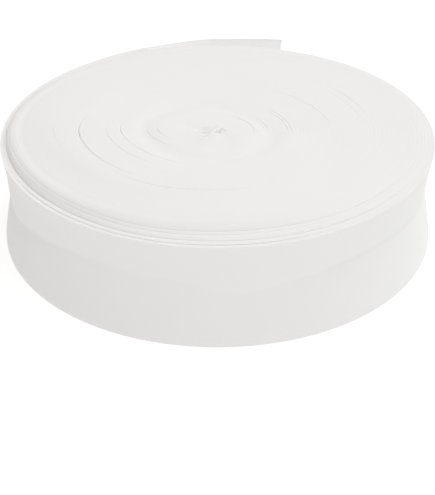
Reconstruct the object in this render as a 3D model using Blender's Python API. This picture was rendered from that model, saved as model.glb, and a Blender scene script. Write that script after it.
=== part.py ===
"""Roll of folded bias tape, lying on its side, with its loose end standing off the far side.

Units are metres, with +Z up. The roll rests on the plane z = 0 and its axis is upright. Angles are in
degrees, seen from above, counter-clockwise from +X. The tape is followed from its loose end inwards,
which is counter-clockwise, and "turns" counts how far it has gone round from there.
"""

import math
from collections import namedtuple

import bmesh
import bpy
import numpy as np

for leftover in list(bpy.data.objects):
    bpy.data.objects.remove(leftover, do_unlink=True)

# Driving dimensions
TAPE_WIDTH = 0.025  # finished width of the folded tape, so the height of the roll
ROLL_RADIUS = 0.051  # at the top rim
TURN_STEP = 0.0018  # the outline's step where the outermost turn leaves, one loose turn
CLEARANCE = 0.0003
EDGE_ROUND = 0.0004  # rounding of the outermost fold at the rim and the foot
SHEET_THICKNESS = 0.0012  # the loose end, two layers of cloth with air between them
CROWN_HEIGHT = 0.0008  # how far the middle turns have risen above the rim
EYE_RADIUS = 0.0022  # the hole at the centre
LEAVE_ANGLE = 112.0  # where the outermost turn leaves the roll and the loose end begins
ANGLE_STEPS = 96
SPIRAL_TURNS = 2  # outermost turns that are modelled one by one

# Outline of the roll at the rim, from where the tape leaves it, once round
Outline = namedtuple("Outline", "angle radius_share")
OUTLINE = [
    Outline(112, 1.000),
    Outline(122, 0.991),
    Outline(132, 0.988),
    Outline(148, 0.992),
    Outline(180, 1.000),
    Outline(225, 1.000),
    Outline(270, 1.000),
    Outline(315, 1.000),
    Outline(360, 1.000),
    Outline(388, 0.990),
    Outline(410, 0.972),
    Outline(425, 0.958),
    Outline(445, 0.948),
    Outline(472, 1.000 - TURN_STEP / ROLL_RADIUS),
]

# Wall of the roll: fuller at the foot, a waist above the middle, and a flared rim
Wall = namedtuple("Wall", "height_share radius_share")
WALL = [
    Wall(0.00, 1.0120),
    Wall(0.04, 1.0116),
    Wall(0.12, 1.0060),
    Wall(0.25, 0.9950),
    Wall(0.40, 0.9855),
    Wall(0.52, 0.9810),
    Wall(0.62, 0.9808),
    Wall(0.72, 0.9826),
    Wall(0.80, 0.9850),
    Wall(0.87, 0.9895),
    Wall(0.94, 0.9955),
    Wall(1.00, 1.0000),
]

# Width of a turn along the tape, which closes on its neighbour after the last row
Turn = namedtuple("Turn", "turns width")
TURNS = [
    Turn(0.0, TURN_STEP),
    Turn(0.3, 0.00140),
    Turn(1.0, 0.00160),
    Turn(1.5, 0.00160),
    Turn(2.0, 0.00000),
]

# Depth of the groove outside a turn, deepest at the left, where the outer turns stand apart
Depth = namedtuple("Depth", "turns depth")
DEPTHS = [
    Depth(0.00, 0.0004),
    Depth(1.00, 0.0004),
    Depth(1.20, 0.0025),
    Depth(1.45, 0.0014),
    Depth(1.70, 0.0008),
    Depth(2.00, 0.0006),
    Depth(2.25, 0.0016),
    Depth(2.50, 0.0012),
    Depth(2.80, 0.0006),
    Depth(3.00, 0.0006),
]
LIP_SHARES = (0.3, 0.7)  # across a turn, where its top fold is level

# Main grooves of the face inside those turns. Their centres lie a little to the left and away.
Groove = namedtuple("Groove", "radius_share shift_x shift_y half_width depth")
GROOVES = [
    Groove(0.855, 0.0000, 0.0000, 0.0007, 0.0007),
    Groove(0.743, -0.0004, 0.0003, 0.0005, 0.0005),
    Groove(0.608, -0.0015, 0.0011, 0.0005, 0.0008),
    Groove(0.416, -0.0015, 0.0011, 0.0005, 0.0006),
    Groove(0.290, -0.0014, 0.0010, 0.0004, 0.0006),
    Groove(0.215, -0.0017, 0.0008, 0.0004, 0.0005),
]
CROWN_SHARES = (0.55, 0.95)  # the crown falls to the rim between these radii
FOOT_RING_SHARE = 0.6

# The loose end's outer face at its top, as shares of the roll's radius, after the point it leaves
PathPoint = namedtuple("PathPoint", "x_share y_share")
LOOSE_PATH = [
    PathPoint(-0.247, 0.979),
    PathPoint(-0.142, 1.0155),
    PathPoint(-0.037, 1.037),
    PathPoint(0.100, 1.0407),
    PathPoint(0.240, 1.0407),
    PathPoint(0.343, 1.0310),
]
LOOSE_STEPS = 26
CUT_SLANT = 0.09  # how much shorter the loose end is at its foot, as a share of its length
FOLD_HEIGHT = 0.0005  # how far a fold's rounding reaches up the sheet
FOLD_SHARES = (0.25, 0.75)  # across the sheet, the points on the crest of a fold

SHARP_ANGLE = 40.0  # edges sharper than this are shaded as creases
CLOTH_COLOUR = (0.86, 0.86, 0.84, 1.0)
CLOTH_ROUGHNESS = 0.9


def smooth(table, at):
    """Read a curve through the table's rows, each a position and a value, with its slopes taken
    from the neighbouring rows."""
    place, value = np.array(table, float).T
    slope = np.gradient(value, place)
    at = np.clip(at, place[0], place[-1])
    i = np.clip(np.searchsorted(place, at, side="right") - 1, 0, len(place) - 2)
    span = place[i + 1] - place[i]
    t = (at - place[i]) / span
    start = (1 + 2 * t) * (1 - t) ** 2 * value[i] + t * (1 - t) ** 2 * span * slope[i]
    end = t * t * (3 - 2 * t) * value[i + 1] - t * t * (1 - t) * span * slope[i + 1]
    return start + end


# One station for each step round the roll, and one more where the turn ends
turn_share = np.arange(ANGLE_STEPS + 1) / ANGLE_STEPS
degrees = LEAVE_ANGLE + 360 * turn_share
around = np.stack([np.cos(np.radians(degrees)), np.sin(np.radians(degrees))], axis=1)
rim_radius = ROLL_RADIUS * smooth(OUTLINE, degrees)


def turn_radius(turn):
    """Outer radius of a turn at each station: the rim's, less the turns outside it."""
    radius = rim_radius.copy()
    for outer in range(turn):
        radius -= np.interp(outer + turn_share, *np.array(TURNS).T)
    return radius


def crown(points):
    """Height of the face at points in plan: level at the rim, and risen by the crown inside."""
    inner, outer = CROWN_SHARES
    share = np.linalg.norm(points, axis=1) / ROLL_RADIUS
    t = np.clip((outer - share) / (outer - inner), 0, 1)
    return TAPE_WIDTH + CROWN_HEIGHT * t * t * (3 - 2 * t)


class Skin:
    """Gathers rings of points and the bands of faces between them into one closed mesh."""

    def __init__(self):
        self.points = []
        self.faces = []

    def ring(self, plan, height, end=None, closes=True):
        """Add a ring. It closes on its own first point, or on the point that end names."""
        height = np.broadcast_to(height, len(plan))
        first = len(self.points)
        self.points.extend((x, y, z) for (x, y), z in zip(plan, height))
        ids = list(range(first, len(self.points)))
        if closes:
            ids.append(first if end is None else end)
        return ids

    def band(self, inner, outer):
        """Join two rings with faces, left out where both rings meet in a point."""
        for a, b, c, d in zip(inner, outer, outer[1:], inner[1:]):
            self.face(a, b, c, d)

    def face(self, *corners):
        corners = list(dict.fromkeys(corners))
        if len(corners) > 2:
            self.faces.append(corners)

    def strip(self, rings):
        for inner, outer in zip(rings, rings[1:]):
            self.band(inner, outer)

    def build(self, name):
        mesh = bpy.data.meshes.new(name)
        mesh.from_pydata(self.points, [], self.faces)
        work = bmesh.new()
        work.from_mesh(mesh)
        bmesh.ops.triangulate(work, faces=work.faces)
        bmesh.ops.recalc_face_normals(work, faces=work.faces)
        work.to_mesh(mesh)
        work.free()
        mesh.shade_smooth()
        mesh.set_sharp_from_angle(angle=math.radians(SHARP_ANGLE))
        made = bpy.data.objects.new(name, mesh)
        bpy.context.collection.objects.link(made)
        return made


def core_ring(radius_share, shift):
    """A closed ring inside the spiral turns: round in the middle, and nearer the innermost spiral
    turn's outline the closer it lies to it."""
    edge = turn_radius(SPIRAL_TURNS)[:ANGLE_STEPS]
    uneven = edge / edge.mean() - 1
    radius = ROLL_RADIUS * radius_share * (1 + uneven * radius_share**2)
    return around[:ANGLE_STEPS] * radius[:, None] + shift


def eye_rings(skin):
    """The eye's wall, from its foot to its top, with both edges rounded."""
    plan = around[:ANGLE_STEPS]
    wide = plan * (EYE_RADIUS + EDGE_ROUND)
    narrow = plan * EYE_RADIUS
    top = crown(wide)
    return [
        skin.ring(wide, 0.0),
        skin.ring(narrow, EDGE_ROUND),
        skin.ring(narrow, top - EDGE_ROUND),
        skin.ring(wide, top),
    ]


def face_rings(skin):
    """The main grooves from the eye outwards: a lip, the bottom and a lip for each."""
    rings = []
    for groove in reversed(GROOVES):
        shift = (groove.shift_x, groove.shift_y)
        lip = groove.half_width / ROLL_RADIUS
        for side, drop in ((-lip, 0.0), (0.0, groove.depth), (lip, 0.0)):
            plan = core_ring(groove.radius_share + side, shift)
            rings.append(skin.ring(plan, crown(plan) - drop))
    return rings


def turn_rings(skin):
    """The outermost turns, from the innermost groove to the rim. Each ring ends where the one a
    turn further in starts, so that they run as one spiral, and the last turn narrows to nothing."""
    radius = turn_radius(SPIRAL_TURNS)
    depth = np.interp(SPIRAL_TURNS + turn_share, *np.array(DEPTHS).T)
    groove = skin.ring((around * radius[:, None])[:-1], (TAPE_WIDTH - depth)[:-1])
    rings = [groove]
    starts = dict.fromkeys((*LIP_SHARES, 0.0), groove[0])
    for turn in reversed(range(SPIRAL_TURNS)):
        outer = turn_radius(turn)
        inner = turn_radius(turn + 1)
        depth = np.interp(turn + turn_share, *np.array(DEPTHS).T)
        for share in (*reversed(LIP_SHARES), 0.0):
            plan = around * (outer + share * (inner - outer))[:, None]
            height = TAPE_WIDTH - (depth if share == 0.0 else 0 * depth)
            ring = skin.ring(plan[:-1], height[:-1], starts[share])
            starts[share] = ring[0]
            rings.append(ring)
    return rings


def wall_rings(skin):
    """The wall from under the rim to the rounding at the foot. These rings stay open, because the
    outermost turn starts a step outside the place where it ends."""
    heights = [wall.height_share * TAPE_WIDTH for wall in reversed(WALL)][1:-1]
    rings = []
    for height in (*heights, EDGE_ROUND):
        radius = rim_radius * smooth(WALL, height / TAPE_WIDTH)
        rings.append(skin.ring(around * radius[:, None], height, closes=False))
    return rings


def foot_rings(skin):
    """The flat face that the roll rests on, from its edge inwards."""
    edge = rim_radius * WALL[0].radius_share - EDGE_ROUND
    step = edge[0] - edge[-1]
    inner = edge - step * (1 - turn_share)
    inner_ring = skin.ring((around * inner[:, None])[:-1], 0.0)
    edge_ring = skin.ring((around * edge[:, None])[:-1], 0.0, inner_ring[0])
    flat_ring = skin.ring(around[:-1] * ROLL_RADIUS * FOOT_RING_SHARE, 0.0)
    return [edge_ring, inner_ring, flat_ring]


def step_faces(skin, turns, wall, edge_ring):
    """The end of the outermost turn's first station, where the loose end carries on from it."""
    column = [turns[-1], *wall, edge_ring]
    lips = [ring[0] for ring in turns[-1 - len(LIP_SHARES) : -1]]
    skin.face(column[0][0], *reversed(lips), column[0][-1], column[1][-1], column[1][0])
    for upper, lower in zip(column[1:], column[2:]):
        skin.face(upper[0], upper[-1], lower[-1], lower[0])


def make_roll():
    skin = Skin()
    eye = eye_rings(skin)
    face = face_rings(skin)
    turns = turn_rings(skin)
    wall = wall_rings(skin)
    foot = foot_rings(skin)
    skin.strip([*eye, *face, *turns, *wall, *foot, eye[0]])
    step_faces(skin, turns, wall, foot[0])
    return skin.build("roll")


def sheet_section():
    """The loose end's section as a loop: up its outer face, over the top fold, down its inner
    face and under the lower fold. Gives each point's height, and its depth behind the outer face."""
    walls = [wall.height_share * TAPE_WIDTH for wall in WALL[2:-1]]
    up = np.array([FOLD_HEIGHT, *walls, TAPE_WIDTH - FOLD_HEIGHT])
    fold = SHEET_THICKNESS * np.array(FOLD_SHARES)
    height = np.array([*up, TAPE_WIDTH, TAPE_WIDTH, *up[::-1], 0, 0])
    depth = np.array([*(0 * up), *fold, *(0 * up + SHEET_THICKNESS), *fold[::-1]])
    return height, depth


def make_loose_end():
    """The section carried along the path in plan. The sheet takes the wall's form at its root,
    stands upright at its cut end, and is a little shorter at its foot."""
    height, depth = sheet_section()
    root = math.radians(LEAVE_ANGLE) - CLEARANCE / ROLL_RADIUS
    radial = np.array([math.cos(root), math.sin(root)])
    path = np.array([radial, *LOOSE_PATH]) * ROLL_RADIUS
    along = np.concatenate([[0], np.cumsum(np.linalg.norm(np.diff(path, axis=0), axis=1))])
    share = np.linspace(0, 1, LOOSE_STEPS)[:, None]
    at = along[-1] * share * (1 - CUT_SLANT * (1 - height / TAPE_WIDTH))
    plan = np.stack([smooth(np.stack([along, path[:, k]], axis=1), at) for k in (0, 1)], axis=2)
    ahead = np.gradient(plan, axis=0)
    across = np.stack([-ahead[..., 1], ahead[..., 0]], axis=2)
    across /= np.linalg.norm(across, axis=2)[..., None]
    across[0] = radial
    bulge = ROLL_RADIUS * (smooth(WALL, height / TAPE_WIDTH) - 1) * (1 - share)
    plan += across * (bulge - depth)[..., None]

    skin = Skin()
    rings = [skin.ring(station, height) for station in plan]
    skin.strip(rings)
    top = len(height) // 2 - 2
    for loop in (rings[0][:-1], rings[-1][:-1]):
        outer = loop[-1:] + loop[: top + 1]
        inner = loop[-2:top:-1]
        skin.band(outer, inner)
    return skin.build("loose_end")


def cloth_material(name):
    made = bpy.data.materials.new(name)
    made.use_nodes = True
    shader = made.node_tree.nodes["Principled BSDF"]
    shader.inputs["Base Color"].default_value = CLOTH_COLOUR
    shader.inputs["Roughness"].default_value = CLOTH_ROUGHNESS
    shader.inputs["Metallic"].default_value = 0.0
    return made


def stand_on_origin(pieces):
    """Move the pieces so that the origin is under the middle of their footprint."""
    corners = np.array([vertex.co for piece in pieces for vertex in piece.data.vertices])
    middle = (corners.min(axis=0) + corners.max(axis=0)) / 2
    for piece in pieces:
        piece.location = (-middle[0], -middle[1], 0.0)


roll = make_roll()
roll.data.materials.append(cloth_material("wound tape"))
loose_end = make_loose_end()
loose_end.data.materials.append(cloth_material("loose tape"))
stand_on_origin([roll, loose_end])
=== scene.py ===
import math
from collections import namedtuple

import bpy
import numpy as np
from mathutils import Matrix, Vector


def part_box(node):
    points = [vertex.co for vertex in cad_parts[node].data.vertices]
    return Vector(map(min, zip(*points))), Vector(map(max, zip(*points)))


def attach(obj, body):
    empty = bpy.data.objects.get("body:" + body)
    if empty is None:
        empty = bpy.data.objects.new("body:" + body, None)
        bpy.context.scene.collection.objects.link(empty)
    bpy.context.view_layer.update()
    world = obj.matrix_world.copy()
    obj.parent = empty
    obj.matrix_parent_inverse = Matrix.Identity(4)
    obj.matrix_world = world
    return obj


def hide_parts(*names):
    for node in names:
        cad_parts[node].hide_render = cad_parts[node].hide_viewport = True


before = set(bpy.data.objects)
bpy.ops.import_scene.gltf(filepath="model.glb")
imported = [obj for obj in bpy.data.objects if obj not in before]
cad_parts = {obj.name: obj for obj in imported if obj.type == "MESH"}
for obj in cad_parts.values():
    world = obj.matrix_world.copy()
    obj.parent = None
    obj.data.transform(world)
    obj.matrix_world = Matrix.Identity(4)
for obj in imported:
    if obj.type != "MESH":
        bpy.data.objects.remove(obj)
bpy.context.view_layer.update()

# The outermost turns. A roll of bias tape is one strip of thin white cotton cut across the weave,
# with both raw edges folded to the back and pressed, then wound on itself without a core. Only the
# folds show: a rounded lip along the top of every turn, and the smooth outer face of the last one.
ROLL_LOW, ROLL_HIGH = (np.array(corner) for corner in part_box("roll"))
TAPE_WIDTH = 0.025
ROLL_RADIUS = 0.051
FOOT_FLARE = 1.012  # the wall's share of the radius at its foot, which sets the roll's box
ROLL_AXIS = np.array([(ROLL_LOW[0] + ROLL_HIGH[0]) / 2, ROLL_LOW[1] + FOOT_FLARE * ROLL_RADIUS])
TURN_STEP = 0.0018  # by which the outline steps in once round, where the tape leaves it
PITCH = 0.000842  # between neighbouring turns, two layers of cloth and the air between them

# Angles are in degrees, counter-clockwise from +X. Turns count how far the tape has gone round,
# inwards, from the angle at which its loose end leaves the roll.
LEAVE_ANGLE = 112.0
TURN_COUNT = 57.286
TRACE_STEPS = 360  # steps of the traced spiral in each turn

# The roll's outline at its rim as a share of its radius, from where the tape leaves it, once round
OUTLINE = [
    (112, 1.000),
    (122, 0.991),
    (132, 0.988),
    (148, 0.992),
    (180, 1.000),
    (225, 1.000),
    (270, 1.000),
    (315, 1.000),
    (360, 1.000),
    (388, 0.990),
    (410, 0.972),
    (425, 0.958),
    (445, 0.948),
    (472, 1.000 - TURN_STEP / ROLL_RADIUS),
]

UNEVEN_FADE = 0.05  # how fast the outline's unevenness dies away, per turn inwards

# Shape of the wall up its height: fuller at the foot, a waist above the middle, a flared rim
WALL = [
    (0.00, 1.0120),
    (0.04, 1.0116),
    (0.12, 1.0060),
    (0.25, 0.9950),
    (0.40, 0.9855),
    (0.52, 0.9810),
    (0.62, 0.9808),
    (0.72, 0.9826),
    (0.80, 0.9850),
    (0.87, 0.9895),
    (0.94, 0.9955),
    (1.00, 1.0000),
]
WALL_FADE = 4  # the power of the radius share by which that shape goes further in

# The crease pressed round the waist: its height and depth by angle, and how soon it has gone
CREASE_HEIGHT = [
    (112, 0.0140),
    (180, 0.0110),
    (202, 0.0117),
    (217, 0.0141),
    (232, 0.0158),
    (244, 0.0160),
    (256, 0.0155),
    (266, 0.0143),
    (274, 0.0122),
    (284, 0.0134),
    (297, 0.0145),
    (313, 0.0151),
    (324, 0.0145),
    (338, 0.0137),
    (360, 0.0130),
    (472, 0.0140),
]
CREASE_DEPTH = [
    (112, 0.00020),
    (180, 0.00050),
    (202, 0.00085),
    (225, 0.00070),
    (250, 0.00045),
    (274, 0.00045),
    (297, 0.00070),
    (310, 0.00095),
    (340, 0.00080),
    (370, 0.00025),
    (472, 0.00020),
]
CREASE_REACH = 0.0020

# Spacing of the loose outer turns round the roll: bunched at the left, slack at the front and,
# as a share of that, slacker at some turns than at others
BUNCHING = [
    (112, 0.00080),
    (148, 0.00065),
    (180, 0.00046),
    (202, 0.00074),
    (227, 0.00096),
    (250, 0.00105),
    (270, 0.00122),
    (303, 0.00112),
    (328, 0.00098),
    (360, 0.00064),
    (400, 0.00062),
    (450, 0.00074),
    (472, 0.00080),
]
SLACK = [
    (0.00, 1.00),
    (0.26, 1.10),
    (0.70, 1.00),
    (1.26, 1.30),
    (1.44, 1.20),
    (1.80, 1.00),
    (2.22, 0.85),
    (2.44, 1.45),
    (2.80, 1.00),
    (4.00, 1.00),
]
BUNCHED_TURNS = (3.0, 4.6)  # the bunching holds up to the first and has gone by the second
LEAVING_TURNS = 0.14  # over which the outermost turn comes in from the step to its neighbour

# Where a groove shows between a turn and the next one in: its two ends in turns, the width by
# which it stands open, how much rounder its two folds are and, where they do, how much lower the
# turns inside it stand
Groove = namedtuple("Groove", "start end open round drop", defaults=[0.0])
OUTER_GROOVES = [
    Groove(-0.20, 0.04, 0.00050, 0.0),
    Groove(0.24, 0.54, 0.00016, 0.10),
    Groove(1.20, 1.62, 0.00010, 0.16),
    Groove(2.12, 2.50, 0.0, 0.08),
    Groove(3.08, 3.66, 0.00003, 0.14),
]
GROOVE_SOFTNESS = 0.08  # turns in which a groove fades in, and out
TIGHT_GAP = 0.000006  # between two turns where no groove shows
DROP_FADE = 1.6  # turns in which a drop has mostly gone again
DROP_REACH = 5  # turns inside a groove that still feel its drop
STEP_SHARE = 0.75  # of a drop: the step itself. The rest is in the slope of the fold outside it.

# How round the folds are: the loose outer ones full, and the pressed ones nearly flat
OUTER_ROUNDNESS = 0.03
PRESSED_ROUNDNESS = 0.003
CREASED_ROUNDNESS = 0.022  # where the press has left a fold standing, now and then along the tape
ROUND_TURNS = (3.2, 6.0)  # the folds are round up to the first and pressed flat by the second
# Folds stand where the sum of these waves along the tape is high, from the first value below to
# the second
STANDING_RANGE = (0.2, 2.2)
Wave = namedtuple("Wave", "per_turn phase")
STANDING_FOLDS = [
    Wave(0.31, 0.10),
    Wave(0.53, 0.45),
    Wave(1.37, 0.20),
    Wave(2.23, 0.65),
]

# The grooves further in, each placed by the radius it has where it starts, and the two angles
Arc = namedtuple("Arc", "radius_share start end open round drop", defaults=[0.0])
INNER_ARCS = [
    Arc(0.738, 165, 210, 0.00002, 0.12),
    Arc(0.765, 2, 50, 0.00003, 0.14, 0.00003),
    Arc(0.735, 2, 42, 0.00002, 0.12, 0.00002),
    Arc(0.606, 158, 240, 0.00007, 0.36),
    Arc(0.598, 218, 300, 0.00004, 0.28),
    Arc(0.606, 4, 66, 0.00003, 0.16, 0.00003),
    Arc(0.495, 170, 245, 0.00003, 0.16),
    Arc(0.424, 160, 262, 0.00005, 0.26),
    Arc(0.384, -8, 50, 0.00005, 0.20, 0.00003),
    Arc(0.368, -8, 48, 0.00005, 0.20, 0.00003),
    Arc(0.292, 165, 240, 0.00005, 0.26),
    Arc(0.425, -6, 24, 0.00003, 0.16, 0.00003),
    Arc(0.300, -6, 46, 0.00003, 0.16, 0.00003),
    Arc(0.234, 158, 228, 0.00005, 0.24),
    Arc(0.232, -10, 70, 0.00005, 0.20, 0.00005),
]

# How far the centre of a turn lies to the left and away, as shares of the roll's radius
CENTRE_SHIFT_X = [
    (0.00, -0.012),
    (0.22, -0.046),
    (0.42, -0.034),
    (0.60, -0.040),
    (0.75, -0.026),
    (0.93, 0.0),
]
CENTRE_SHIFT_Y = [
    (0.00, -0.036),
    (0.22, -0.034),
    (0.42, -0.040),
    (0.60, -0.056),
    (0.75, -0.012),
    (0.93, 0.0),
]

# The turns stand on the table at the rim and have risen inside it, most at the near left. The
# table gives the share of the rise by turns.
RISE = 0.0009
RISE_TILT = 0.0009
RISE_ANGLE = 225.0
RISE_TABLE = [
    (0.00, 0.00),
    (0.90, 0.00),
    (1.26, 0.00),
    (1.44, 0.00),
    (1.70, 0.10),
    (2.00, 0.05),
    (2.26, 0.03),
    (2.44, 0.04),
    (2.70, 0.30),
    (2.90, 0.34),
    (3.05, 0.42),
    (3.15, 0.62),
    (3.24, 0.60),
    (3.30, 0.46),
    (3.36, 0.32),
    (3.44, 0.23),
    (3.70, 0.60),
    (4.00, 0.76),
    (4.15, 0.80),
    (4.28, 0.74),
    (4.44, 0.38),
    (4.70, 0.80),
    (5.00, 0.90),
    (5.26, 0.95),
    (5.44, 0.66),
    (5.70, 0.90),
    (6.26, 0.99),
    (6.44, 0.85),
    (6.70, 0.96),
    (7.44, 0.95),
    (9.00, 1.00),
    (54.0, 1.00),
    (56.0, 1.00),
    (57.3, 0.95),
]
TILT_TABLE = [(0.0, 0.0), (0.30, 1.0), (1.0, 1.0)]  # of that tilt, by radius share
MOUND_TROUGH = 0.0004
MOUND_SHARES = (0.29, 0.05)  # the trough round the mound, its radius and half width
# The face's own unevenness: waves round the roll, waves across its radius, height and phase
Swell = namedtuple("Swell", "waves across height phase")
SWELLS = [
    Swell(1, 1.3, 0.00008, 0.10),
    Swell(2, 2.1, 0.00006, 0.45),
    Swell(3, 0.7, 0.00005, 0.20),
    Swell(5, 3.4, 0.00003, 0.65),
]

# The innermost turn, which nothing holds, leans into the eye: how far its inner side reaches, by
# turns before the innermost place, and how much lower it is there, as a share of that reach
FUNNEL_WIDTH = [
    (-1.10, 0.0),
    (-0.80, 0.0010),
    (-0.32, 0.0010),
    (-0.20, 0.0019),
    (-0.08, 0.0020),
    (0.00, 0.0010),
]
FUNNEL_DEPTH = 0.92

STATION_STEP = 0.0010  # along the tape, or the angle below where that is less
STATION_ANGLE = 4.0

# A fold's crest: how far across the fold, and how far below its top were it fully round, both as
# shares of its thickness. The folds underneath, which lie on the table, are simpler.
CREST = [
    (0.48, 0.0),
    (0.30, 0.05),
    (0.15, 0.17),
    (0.05, 0.36),
    (0.00, 0.60),
]
CREST_BELOW = [(0.20, 0.0), (0.0, 0.60)]


def smooth(rows, at):
    """Curve through rows of a place and a value: a cubic between two rows, with the slope at each
    row taken from its neighbours."""
    place, value = np.array(rows, float).T
    slope = np.gradient(value, place)
    at = np.clip(at, place[0], place[-1])
    i = np.clip(np.searchsorted(place, at, side="right") - 1, 0, len(place) - 2)
    span = place[i + 1] - place[i]
    t = (at - place[i]) / span
    start = (1 + 2 * t) * (1 - t) ** 2 * value[i] + t * (1 - t) ** 2 * span * slope[i]
    end = t * t * (3 - 2 * t) * value[i + 1] - t * t * (1 - t) * span * slope[i + 1]
    return start + end


def ramp(low, high, at):
    """0 below low, 1 above high, and a smooth rise between them."""
    t = np.clip((at - low) / (high - low), 0, 1)
    return t * t * (3 - 2 * t)


def angle_from_leaving(turns):
    """Degrees from the leaving angle up to a full circle more, once round for each turn."""
    return LEAVE_ANGLE + 360 * np.mod(turns, 1.0)


def spacing(turns):
    """Distance between a turn and the next one in: one step at the start, the bunching and slack
    of the loose outer turns, then the even pitch."""
    loose = smooth(BUNCHING, angle_from_leaving(turns)) * smooth(SLACK, turns)
    kept = 1 - ramp(*BUNCHED_TURNS, turns)
    wide = kept * loose + (1 - kept) * PITCH
    leaving = 1 - ramp(0.0, LEAVING_TURNS, turns)
    return wide + leaving * (TURN_STEP - wide)


def trace_radius():
    """Outer radius along the tape. The first turn is the outline, and each further one lies
    inside the last by their spacing, while the outline's unevenness dies away."""
    share = np.arange(TRACE_STEPS) / TRACE_STEPS
    travel = [TURN_STEP * share]
    for turn in range(int(TURN_COUNT) + 2):
        travel.append(travel[-1] + spacing(turn + share))
    travel = np.concatenate(travel)
    turns = np.arange(len(travel)) / TRACE_STEPS
    outline = ROLL_RADIUS * smooth(OUTLINE, angle_from_leaving(turns))
    uneven = outline - (ROLL_RADIUS - TURN_STEP * np.mod(turns, 1.0))
    fade = np.exp(-UNEVEN_FADE * np.maximum(turns - 1, 0))
    return turns, ROLL_RADIUS - travel + uneven * fade


TRACE_TURNS, TRACE_RADIUS = trace_radius()


def radius_at(turns):
    """Outer radius at places along the tape, between the traced ones."""
    return np.interp(turns, TRACE_TURNS, TRACE_RADIUS)


def turns_at(radius, angle):
    """The place on the tape that lies nearest to a radius, at an angle."""
    first = (angle - LEAVE_ANGLE) / 360
    places = first + np.arange(0 if first >= 0 else 1, int(TURN_COUNT))
    return places[np.argmin(abs(radius_at(places) - radius))]


def all_grooves():
    """The outer grooves, and the arcs further in with their angles made turns of the tape."""
    grooves = list(OUTER_GROOVES)
    for arc in INNER_ARCS:
        start = turns_at(arc.radius_share * ROLL_RADIUS, arc.start)
        end = start + (arc.end - arc.start) / 360
        grooves.append(Groove(start, end, arc.open, arc.round, arc.drop))
    return grooves


GROOVES = all_grooves()


def groove_at(turns, measure):
    """One measure of the grooves just inside each place of the tape, fading in and out at the two
    ends of each groove."""
    total = np.zeros(np.shape(turns))
    for groove in GROOVES:
        rise = ramp(groove.start, groove.start + GROOVE_SOFTNESS, turns)
        fall = 1 - ramp(groove.end - GROOVE_SOFTNESS, groove.end, turns)
        total = np.maximum(total, getattr(groove, measure) * rise * fall)
    return total


def roundness_at(turns):
    """How round a fold is: the loose outer ones full, the pressed ones inside nearly flat, and
    here and there rounder where the sum of some waves along the tape is high."""
    waves = sum(np.sin(2 * np.pi * (wave.per_turn * turns + wave.phase)) for wave in STANDING_FOLDS)
    standing = ramp(*STANDING_RANGE, waves)
    inside = PRESSED_ROUNDNESS + (CREASED_ROUNDNESS - PRESSED_ROUNDNESS) * standing
    pressed = ramp(*ROUND_TURNS, turns)
    return OUTER_ROUNDNESS * (1 - pressed) + inside * pressed


def drop_at(turns):
    """How far a turn lies lower for the grooves outside it, each less with every turn further in."""
    total = np.zeros(np.shape(turns))
    for outside in range(1, DROP_REACH + 1):
        total = total + groove_at(turns - outside, "drop") * math.exp(-(outside - 1) / DROP_FADE)
    return total


def rise_at(turns):
    """Height of the tape's foot above the table: the rise inside the rim, more at the near left,
    less a trough round the mound, and the face's swells."""
    share = radius_at(turns) / ROLL_RADIUS
    angle = np.radians(angle_from_leaving(turns) - RISE_ANGLE)
    rise = RISE + RISE_TILT * np.cos(angle) * smooth(TILT_TABLE, share)
    middle, half = MOUND_SHARES
    rise = rise - MOUND_TROUGH * np.exp(-(((share - middle) / half) ** 2))
    for waves, across, height, phase in SWELLS:
        rise = rise + height * np.sin(2 * np.pi * (waves * turns + across * share + phase))
    return np.maximum(rise * smooth(RISE_TABLE, turns) - drop_at(turns), 0)


def spiral(turns):
    """Plan of the tape's outer face: the radius carried round the turn's own centre."""
    radius = radius_at(turns)
    share = radius / ROLL_RADIUS
    angle = np.radians(LEAVE_ANGLE + 360 * turns)
    x = radius * np.cos(angle) + ROLL_RADIUS * smooth(CENTRE_SHIFT_X, share)
    y = radius * np.sin(angle) + ROLL_RADIUS * smooth(CENTRE_SHIFT_Y, share)
    return ROLL_AXIS + np.stack([x, y], axis=-1)


def stations(start, end):
    """Places along the tape, a step apart or closer where the turns are small."""
    fine = np.linspace(start, end, int((end - start) * TRACE_STEPS) + 2)
    step = np.minimum(STATION_STEP, radius_at(fine) * math.radians(STATION_ANGLE))
    per_turn = 2 * np.pi * radius_at(fine) / step
    along = np.concatenate([[0], np.cumsum((per_turn[1:] + per_turn[:-1]) / 2 * np.diff(fine))])
    return np.interp(np.linspace(0, along[-1], int(along[-1]) + 2), along, fine)


def fold_section(walls):
    """A pressed fold as a loop, up its outer side and down its inner one. Each point has a share
    across the thickness, a height at no thickness, and a share of the thickness by which it lies
    towards the middle of the height."""
    below, above = np.array(CREST_BELOW), np.array(CREST)[::-1]
    walls = TAPE_WIDTH * np.array(walls)
    across = np.concatenate([below[:, 0], 0 * walls, above[:, 0]])
    height = np.concatenate([0 * below[:, 0], walls, 0 * above[:, 0] + TAPE_WIDTH])
    inset = np.concatenate([below[:, 1], 0 * walls, -above[:, 1]])
    return (
        np.concatenate([across, 1 - across[::-1]]),
        np.concatenate([height, height[::-1]]),
        np.concatenate([inset, inset[::-1]]),
    )


def wall_form(height, turns):
    """How far the wall of a turn stands out at a height: the shape of the roll's wall less the
    crease, which falls off from its own height both ways, and less of both further in."""
    angle = angle_from_leaving(turns)
    stand = ROLL_RADIUS * (smooth(WALL, height / TAPE_WIDTH) - 1)
    away = abs(height - smooth(CREASE_HEIGHT, angle)) / CREASE_REACH
    crease = smooth(CREASE_DEPTH, angle) * np.exp(-away)
    return (stand - crease) * (radius_at(turns) / ROLL_RADIUS) ** WALL_FADE


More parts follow.
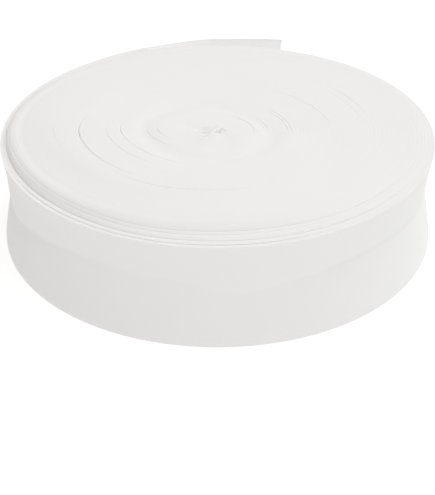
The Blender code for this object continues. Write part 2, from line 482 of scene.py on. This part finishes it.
def into_roll(plan):
    """Unit direction to the left of a path in plan, which is into the roll."""
    ahead = np.gradient(plan, axis=0)
    left = np.stack([-ahead[..., 1], ahead[..., 0]], axis=-1)
    return left / np.linalg.norm(left, axis=-1)[..., None]


def carry(plan, turns, thickness, roundness, rise, section):
    """Section carried along a path in plan, with its outer side on the path and its wall shaped as
    the roll's. roundness and rise are pairs, for the fold's outer side and for its inner side, and
    nothing goes below the table."""
    across, height, inset = section
    left = into_roll(plan)
    inset = inset * np.where(across < 0.5, roundness[0][:, None], roundness[1][:, None])
    depth = across * thickness[:, None] - wall_form(height, turns[:, None] + across)
    place = plan[:, None, :] + left[:, None, :] * depth[..., None]
    slope = rise[0][:, None] + across * (rise[1] - rise[0])[:, None]
    level = np.maximum(height + inset * thickness[:, None] + slope, 0)
    return np.concatenate([place, level[..., None]], axis=2)


def lengths_along(line):
    """Length of a line of points from its first one up to each of them."""
    return np.concatenate([[0], np.cumsum(np.linalg.norm(np.diff(line, axis=0), axis=1))])


SHARP_ANGLE = 55.0  # two faces that meet at more than this make an edge, as round the cut ends


def tape_mesh(name, points, start_length):
    """Mesh of a section carried along stations: four-sided faces between them, and both ends
    closed. The UV map holds metres along the tape and metres round its section."""
    rows, around = points.shape[:2]
    i = np.arange(rows - 1)[:, None]
    j = np.arange(around)[None, :]
    after = (j + 1) % around
    corners = [i * around + j, (i + 1) * around + j, (i + 1) * around + after, i * around + after]
    sides = np.stack(corners, axis=-1)
    k = np.arange(around // 2 - 1)
    first = np.stack([k, k + 1, around - 2 - k, around - 1 - k], axis=-1)
    last = first[:, ::-1] + (rows - 1) * around
    faces = np.concatenate([sides.reshape(-1, 4), first, last])

    along = start_length + lengths_along(points.mean(axis=1))
    width = lengths_along(np.concatenate([points[0], points[0][:1]]))
    corner_u = np.broadcast_to(np.stack([i, i + 1, i + 1, i], axis=-1), sides.shape)
    corner_v = np.broadcast_to(np.stack([j, j, j + 1, j + 1], axis=-1), sides.shape)
    side_uv = np.stack([along[corner_u], width[corner_v]], axis=-1).reshape(-1, 2)
    ends = np.concatenate([first, first[:, ::-1]])
    end_uv = np.stack([along[0] + 0 * width[ends], width[ends]], axis=-1).reshape(-1, 2)
    uv = np.concatenate([side_uv, end_uv])

    mesh = bpy.data.meshes.new(name)
    mesh.vertices.add(rows * around)
    mesh.vertices.foreach_set("co", points.reshape(-1))
    mesh.loops.add(faces.size)
    mesh.loops.foreach_set("vertex_index", faces.reshape(-1))
    mesh.polygons.add(len(faces))
    mesh.polygons.foreach_set("loop_start", np.arange(len(faces)) * 4)
    mesh.uv_layers.new(name="cloth").data.foreach_set("uv", uv.reshape(-1))
    mesh.update(calc_edges=True)
    mesh.validate()
    mesh.shade_smooth()
    mesh.set_sharp_from_angle(angle=math.radians(SHARP_ANGLE))
    made = bpy.data.objects.new(name, mesh)
    bpy.context.scene.collection.objects.link(made)
    return made, along[-1]


BIAS_ANGLE = 45.0
MOTTLE_SCALE = 90.0  # patches in a metre
MOTTLE_DETAIL = 3.0


def weave_group():
    """Plain weave turned by the bias angle: its height is the product of two sine waves, one along
    each thread, which rises where a thread passes over. The mottling is a slow noise."""
    group = bpy.data.node_groups.new("Bias weave", "ShaderNodeTree")
    group.interface.new_socket("Thread pitch", in_out="INPUT", socket_type="NodeSocketFloat")
    group.interface.new_socket("Height", in_out="OUTPUT", socket_type="NodeSocketFloat")
    group.interface.new_socket("Mottle", in_out="OUTPUT", socket_type="NodeSocketFloat")
    nodes, links = group.nodes, group.links
    inlet = nodes.new("NodeGroupInput")
    outlet = nodes.new("NodeGroupOutput")
    place = nodes.new("ShaderNodeUVMap")
    place.uv_map = "cloth"
    turned = nodes.new("ShaderNodeVectorRotate")
    turned.rotation_type = "Z_AXIS"
    turned.inputs["Angle"].default_value = math.radians(BIAS_ANGLE)
    links.new(place.outputs["UV"], turned.inputs["Vector"])
    scaled = nodes.new("ShaderNodeVectorMath")
    scaled.operation = "DIVIDE"
    links.new(turned.outputs["Vector"], scaled.inputs[0])
    links.new(inlet.outputs["Thread pitch"], scaled.inputs[1])
    parts = nodes.new("ShaderNodeSeparateXYZ")
    links.new(scaled.outputs["Vector"], parts.inputs["Vector"])

    def math_node(operation, first, second):
        """Math node whose two inputs are each a number, a socket or nothing."""
        node = nodes.new("ShaderNodeMath")
        node.operation = operation
        for socket, value in zip(node.inputs, (first, second)):
            if isinstance(value, (int, float)):
                socket.default_value = value
            elif value is not None:
                links.new(value, socket)
        return node.outputs["Value"]

    waves = []
    for axis in ("X", "Y"):
        waves.append(math_node("SINE", math_node("MULTIPLY", parts.outputs[axis], math.pi), None))
    over = math_node("MULTIPLY", *waves)
    rounded = math_node("MULTIPLY", over, 0.5)
    links.new(math_node("ADD", rounded, 0.5), outlet.inputs["Height"])
    mottle = nodes.new("ShaderNodeTexNoise")
    mottle.inputs["Scale"].default_value = MOTTLE_SCALE
    mottle.inputs["Detail"].default_value = MOTTLE_DETAIL
    links.new(place.outputs["UV"], mottle.inputs["Vector"])
    links.new(mottle.outputs["Fac"], outlet.inputs["Mottle"])
    return group


BIAS_WEAVE = weave_group()
COTTON_LIGHT = (0.872, 0.872, 0.866, 1.0)
COTTON_DARK = (0.856, 0.855, 0.848, 1.0)
COTTON_ROUGHNESS = 0.9
COTTON_SPECULAR = 0.2
COTTON_SHEEN = 0.10
COTTON_SHEEN_ROUGHNESS = 0.5
THREAD_PITCH = 0.00030
THREAD_HEIGHT = 0.000012
BUMP_STRENGTH = 0.35


def bleached_cotton(name):
    """Matt white cotton: the weave as a shallow bump, its mottling as a slight change of white."""
    made = bpy.data.materials.new(name)
    made.use_nodes = True
    nodes, links = made.node_tree.nodes, made.node_tree.links
    shader = nodes["Principled BSDF"]
    shader.inputs["Roughness"].default_value = COTTON_ROUGHNESS
    shader.inputs["Specular IOR Level"].default_value = COTTON_SPECULAR
    shader.inputs["Sheen Weight"].default_value = COTTON_SHEEN
    shader.inputs["Sheen Roughness"].default_value = COTTON_SHEEN_ROUGHNESS
    weave = nodes.new("ShaderNodeGroup")
    weave.node_tree = BIAS_WEAVE
    weave.inputs["Thread pitch"].default_value = THREAD_PITCH
    tint = nodes.new("ShaderNodeMix")
    tint.data_type = "RGBA"
    tint.inputs["A"].default_value = COTTON_DARK
    tint.inputs["B"].default_value = COTTON_LIGHT
    links.new(weave.outputs["Mottle"], tint.inputs["Factor"])
    links.new(tint.outputs["Result"], shader.inputs["Base Color"])
    bump = nodes.new("ShaderNodeBump")
    bump.inputs["Strength"].default_value = BUMP_STRENGTH
    bump.inputs["Distance"].default_value = THREAD_HEIGHT
    links.new(weave.outputs["Height"], bump.inputs["Height"])
    links.new(bump.outputs["Normal"], shader.inputs["Normal"])
    return made


WOUND_CLOTH = bleached_cotton("wound tape")


def wound_tape(name, start, end, section, start_length):
    """One stretch of the wound tape, between two places counted in turns: each turn is as thick as
    the room up to the next one in, less the gap, and its inner side stands as high as that one.
    Returns the length of tape wound so far."""
    turns = stations(start, end)
    plan = spiral(turns)
    room = ((spiral(turns + 1) - plan) * into_roll(plan)).sum(axis=1)
    thickness = room - np.maximum(TIGHT_GAP, groove_at(turns, "open"))
    roundness = (
        roundness_at(turns - 1) + groove_at(turns - 1, "round"),
        roundness_at(turns) + groove_at(turns, "round"),
    )
    outer_rise = rise_at(turns)
    slope = (rise_at(turns + 1) - outer_rise) + STEP_SHARE * groove_at(turns, "drop")
    lean = np.maximum(smooth(FUNNEL_WIDTH, turns - TURN_COUNT), 0)
    thickness = thickness + lean
    slope = slope - FUNNEL_DEPTH * lean
    points = carry(plan, turns, thickness, roundness, (outer_rise, outer_rise + slope), section)
    made, length = tape_mesh(name, points, start_length)
    made.data.materials.append(WOUND_CLOTH)
    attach(made, "root")
    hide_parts("roll")
    return length


OUTER_WALLS = np.linspace(0.03, 0.97, 36)  # heights of the wall's points, as shares of the width
OUTER_END = 3.0  # turns
wound = wound_tape("outer_turns", 0.0, OUTER_END, fold_section(OUTER_WALLS), 0.0)

# The turns inside those, pressed together, so that only their folds show above and below. Two
# pieces, because the tape goes round more than fifty times.
PRESSED_WALLS = (0.06, 0.94)
PRESSED_FOLD = fold_section(PRESSED_WALLS)
MIDDLE_END = 20.0
wound = wound_tape("middle_turns", OUTER_END, MIDDLE_END, PRESSED_FOLD, wound)
wound = wound_tape("inner_turns", MIDDLE_END, TURN_COUNT, PRESSED_FOLD, wound)

# The start of the tape: the first centimetre, bent back across the eye from the innermost turn.
# The same folded cloth, and its cut edge rests against the far side of the eye.
START_THICKNESS = 0.0009
START_ROUNDNESS = 0.5
START_STATIONS = 40
MILLIMETRE = 0.001

# From the innermost turn's end across the eye, in millimetres from the roll's axis
START_PATH = [
    (-2.72, -3.94),
    (-2.22, -4.07),
    (-1.72, -3.96),
    (-1.32, -3.63),
    (-0.70, -2.80),
    (-0.10, -2.00),
    (0.55, -1.15),
    (1.15, -0.35),
]
# Its height above the table: shares of the way along, and of the rise
START_RISE = [
    (0.00, 0.85),
    (0.35, 1.25),
    (0.60, 1.45),
    (1.00, 1.20),
]


def hand_path(points, at):
    """Smooth line through given points, at lengths counted along them: a smooth curve for
    each of its two coordinates."""
    along = lengths_along(points)
    return np.stack([smooth(np.stack([along, points[:, k]], axis=1), at) for k in (0, 1)], axis=-1)


wound_end = spiral(np.array([TURN_COUNT])) - ROLL_AXIS
start_points = np.concatenate([wound_end, MILLIMETRE * np.array(START_PATH)])
crossing_length = lengths_along(start_points)[-1]
start_plan = ROLL_AXIS + hand_path(start_points, np.linspace(0, crossing_length, START_STATIONS))
throughout = np.ones(START_STATIONS)
start_rise = RISE * smooth(START_RISE, np.linspace(0, 1, START_STATIONS))
tape_start, _ = tape_mesh(
    "tape_start",
    carry(
        start_plan,
        TURN_COUNT * throughout,
        START_THICKNESS * throughout,
        (START_ROUNDNESS * throughout, START_ROUNDNESS * throughout),
        (start_rise, start_rise),
        PRESSED_FOLD,
    ),
    wound,
)
tape_start.data.materials.append(WOUND_CLOTH)
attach(tape_start, "root")
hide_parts("roll")

# The loose end: the last few centimetres of the tape, standing off the far side of the roll. It is
# the folded cloth itself, one layer at the front and two flaps behind it whose raw edges nearly
# meet, cut nearly straight across. In the real roll it leaves the outermost turn without a join.
CLOTH_THICKNESS = 0.00027
FOLDED_THICKNESS = 0.0008
FLAP_GAP = 0.0006  # from the middle of the tape to each raw edge

# The path of its outer side from the roll to the cut edge, as shares of the roll's radius
LOOSE_PATH = [
    (-0.247, 0.979),
    (-0.142, 1.0155),
    (-0.037, 1.037),
    (0.100, 1.0407),
    (0.240, 1.0407),
    (0.343, 1.0310),
]
LOOSE_STATIONS = 44
CUT_SLANT = 0.09  # how much shorter the loose end is at its foot, as a share of its length
FLAP_POINTS = 6
FOLD_POINTS = 7
FRONT_POINTS = 17


def folded_section():
    """The cloth's own section as a loop: its outer side from the lower raw edge, down the flap,
    round the lower fold, up the front, over the upper fold and down to the upper raw edge, then
    back along its inner side."""
    half = FOLDED_THICKNESS / 2
    flap = np.linspace(TAPE_WIDTH / 2 - FLAP_GAP, half, FLAP_POINTS)[:-1]
    fold = np.radians(np.linspace(0, 180, FOLD_POINTS))
    front = np.linspace(half, TAPE_WIDTH - half, FRONT_POINTS)[1:-1]
    sides = []
    for inset in (0.0, CLOTH_THICKNESS):
        bend = half - inset
        depth = np.concatenate([
            0 * flap + FOLDED_THICKNESS - inset,
            half + bend * np.cos(fold),
            0 * front + inset,
            half - bend * np.cos(fold),
            0 * flap + FOLDED_THICKNESS - inset,
        ])
        height = np.concatenate([
            flap,
            half - bend * np.sin(fold),
            front,
            TAPE_WIDTH - half + bend * np.sin(fold),
            TAPE_WIDTH - flap[::-1],
        ])
        sides.append((depth, height))
    depth = np.concatenate([sides[0][0], sides[1][0][::-1]])
    height = np.concatenate([sides[0][1], sides[1][1][::-1]])
    return depth, height


def loose_end_points():
    """The folded section carried along the loose end's path, from its cut edge to the roll. The
    front takes the wall's form at the root, and stands upright at the cut edge."""
    depth, height = folded_section()
    root = np.array([math.cos(math.radians(LEAVE_ANGLE)), math.sin(math.radians(LEAVE_ANGLE))])
    path = np.array([root, *LOOSE_PATH])[::-1] * ROLL_RADIUS
    length = lengths_along(path)[-1]
    share = np.linspace(0, 1, LOOSE_STATIONS)[:, None]
    cut = CUT_SLANT * length * (1 - height / TAPE_WIDTH)
    plan = hand_path(path, cut + (length - cut) * share)
    left = into_roll(plan)
    left[-1] = -root
    bulge = ROLL_RADIUS * (smooth(WALL, height / TAPE_WIDTH) - 1) * share
    plan = ROLL_AXIS + plan + left * (depth - bulge)[..., None]
    level = np.broadcast_to(height, plan.shape[:2])
    return np.concatenate([plan, level[..., None]], axis=2), length


loose_points, loose_length = loose_end_points()
loose_end, _ = tape_mesh("loose_tape_end", loose_points, -loose_length)
LOOSE_CLOTH = bleached_cotton("loose tape")
# Painted light: an emission on the flaps' side stands in for light from behind coming through the
# single strip. The mask is 1 there, by the length round the section from the middle of its front,
# and fades towards the cut.
GLOW = 0.235
GLOW_AT_CUT = 0.5  # its share there, where less light is thrown back from the roll
FLAP_START = TAPE_WIDTH / 2 + FOLDED_THICKNESS
# The middle of the front, round the section from the lower raw edge
FRONT_MIDDLE = TAPE_WIDTH + (math.pi / 2 - 1) * FOLDED_THICKNESS - FLAP_GAP
nodes, links = LOOSE_CLOTH.node_tree.nodes, LOOSE_CLOTH.node_tree.links
cloth_place = nodes.new("ShaderNodeUVMap")
cloth_place.uv_map = "cloth"
round_section = nodes.new("ShaderNodeSeparateXYZ")
links.new(cloth_place.outputs["UV"], round_section.inputs["Vector"])
from_front = nodes.new("ShaderNodeMath")
from_front.operation = "SUBTRACT"
from_front.inputs[1].default_value = FRONT_MIDDLE
links.new(round_section.outputs["Y"], from_front.inputs[0])
distance = nodes.new("ShaderNodeMath")
distance.operation = "ABSOLUTE"
links.new(from_front.outputs["Value"], distance.inputs[0])
on_flap = nodes.new("ShaderNodeMapRange")
on_flap.inputs["From Min"].default_value = FLAP_START
on_flap.inputs["From Max"].default_value = FLAP_START + CLOTH_THICKNESS
links.new(distance.outputs["Value"], on_flap.inputs["Value"])
from_cut = nodes.new("ShaderNodeMapRange")
from_cut.inputs["From Min"].default_value = -loose_length
from_cut.inputs["From Max"].default_value = 0.0
from_cut.inputs["To Min"].default_value = GLOW_AT_CUT
links.new(round_section.outputs["X"], from_cut.inputs["Value"])
painted_glow_mask = nodes.new("ShaderNodeMath")
painted_glow_mask.operation = "MULTIPLY"
links.new(on_flap.outputs["Result"], painted_glow_mask.inputs[0])
links.new(from_cut.outputs["Result"], painted_glow_mask.inputs[1])
loose_shader = nodes["Principled BSDF"]
# The painted glow: the mask drives the emission colour, so this cloth glows though no lamp is there
links.new(painted_glow_mask.outputs["Value"], loose_shader.inputs["Emission Color"])
loose_shader.inputs["Emission Strength"].default_value = GLOW
loose_end.data.materials.append(LOOSE_CLOTH)
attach(loose_end, "root")
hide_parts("loose_end")

# The stage: a plain white floor that glows a little, so that it stays white right up to the roll,
# and a white room with two soft boxes, one behind on the right and one in front, above.
FLOOR_HALF = 3.0
FLOOR_CORNERS = [(-1, -1), (1, -1), (1, 1), (-1, 1)]
FLOOR_DROP = 0.0001  # below the roll's foot
FLOOR_COLOUR = (0.40, 0.40, 0.40, 1.0)
FLOOR_ROUGHNESS = 0.9
FLOOR_GLOW = 0.68

floor_mesh = bpy.data.meshes.new("floor")
floor_mesh.from_pydata(
    [(x * FLOOR_HALF, y * FLOOR_HALF, -FLOOR_DROP) for x, y in FLOOR_CORNERS],
    [],
    [(0, 1, 2, 3)],
)
floor = bpy.data.objects.new("floor", floor_mesh)
bpy.context.scene.collection.objects.link(floor)
floor_white = bpy.data.materials.new("floor white")
floor_white.use_nodes = True
floor_shader = floor_white.node_tree.nodes["Principled BSDF"]
floor_shader.inputs["Base Color"].default_value = FLOOR_COLOUR
floor_shader.inputs["Roughness"].default_value = FLOOR_ROUGHNESS
floor_shader.inputs["Emission Color"].default_value = (1.0, 1.0, 1.0, 1.0)
floor_shader.inputs["Emission Strength"].default_value = FLOOR_GLOW
floor_mesh.materials.append(floor_white)

SKY_LEFT = (0.84, 0.788, 0.764, 1.0)  # a warm wall of the room on that side
SKY_RIGHT = (1.0, 0.992, 0.985, 1.0)
SKY_STRENGTH = 0.63
world = bpy.data.worlds.new("studio")
world.use_nodes = True
sky = world.node_tree.nodes["Background"]
direction = world.node_tree.nodes.new("ShaderNodeTexCoord")
sideways = world.node_tree.nodes.new("ShaderNodeSeparateXYZ")
across = world.node_tree.nodes.new("ShaderNodeMapRange")
across.inputs["From Min"].default_value = -1.0
across.inputs["From Max"].default_value = 1.0
tint = world.node_tree.nodes.new("ShaderNodeMix")
tint.data_type = "RGBA"
tint.inputs["A"].default_value = SKY_LEFT
tint.inputs["B"].default_value = SKY_RIGHT
world.node_tree.links.new(direction.outputs["Generated"], sideways.inputs["Vector"])
world.node_tree.links.new(sideways.outputs["X"], across.inputs["Value"])
world.node_tree.links.new(across.outputs["Result"], tint.inputs["Factor"])
world.node_tree.links.new(tint.outputs["Result"], sky.inputs["Color"])
sky.inputs["Strength"].default_value = SKY_STRENGTH
bpy.context.scene.world = world

LAMP_SIZE = 1.1
LAMP_WHITE = (0.975, 1.0, 1.0)


def soft_box(name, place, power):
    """Square soft box aimed at the middle of the roll."""
    lamp = bpy.data.lights.new(name, "AREA")
    lamp.shape = "SQUARE"
    lamp.size = LAMP_SIZE
    lamp.energy = power
    lamp.color = LAMP_WHITE
    made = bpy.data.objects.new(name, lamp)
    made.location = place
    aim = Vector((0, 0, TAPE_WIDTH)) - Vector(place)
    made.rotation_euler = aim.to_track_quat("-Z", "Y").to_euler()
    bpy.context.scene.collection.objects.link(made)


soft_box("key", place=(0.79, 0.80, 1.18), power=8.7)
soft_box("fill", place=(0.20, -0.58, 1.60), power=7.1)

# The camera stands in front and above, as the photograph was taken. Its place is measured from the
# middle of the rim's plane, as a multiple of the roll's radius, and its lens in pixels of the frame.
CAMERA_DISTANCE = 6.11
CAMERA_ELEVATION = 28.0
CAMERA_PITCH = 33.10
SENSOR = 36.0
FRAME_HEIGHT = 495
FOCAL_PIXELS = 1310.0

lens = bpy.data.cameras.new("camera")
lens.sensor_width = SENSOR
lens.lens = SENSOR * FOCAL_PIXELS / FRAME_HEIGHT
lens.clip_start = 0.01
camera = bpy.data.objects.new("camera", lens)
reach = CAMERA_DISTANCE * ROLL_RADIUS
camera.location = (
    ROLL_AXIS[0],
    ROLL_AXIS[1] - reach * math.cos(math.radians(CAMERA_ELEVATION)),
    TAPE_WIDTH + reach * math.sin(math.radians(CAMERA_ELEVATION)),
)
camera.rotation_euler = (math.radians(90 - CAMERA_PITCH), 0, 0)
bpy.context.scene.collection.objects.link(camera)
bpy.context.scene.camera = camera
bpy.context.scene.view_settings.view_transform = "Standard"
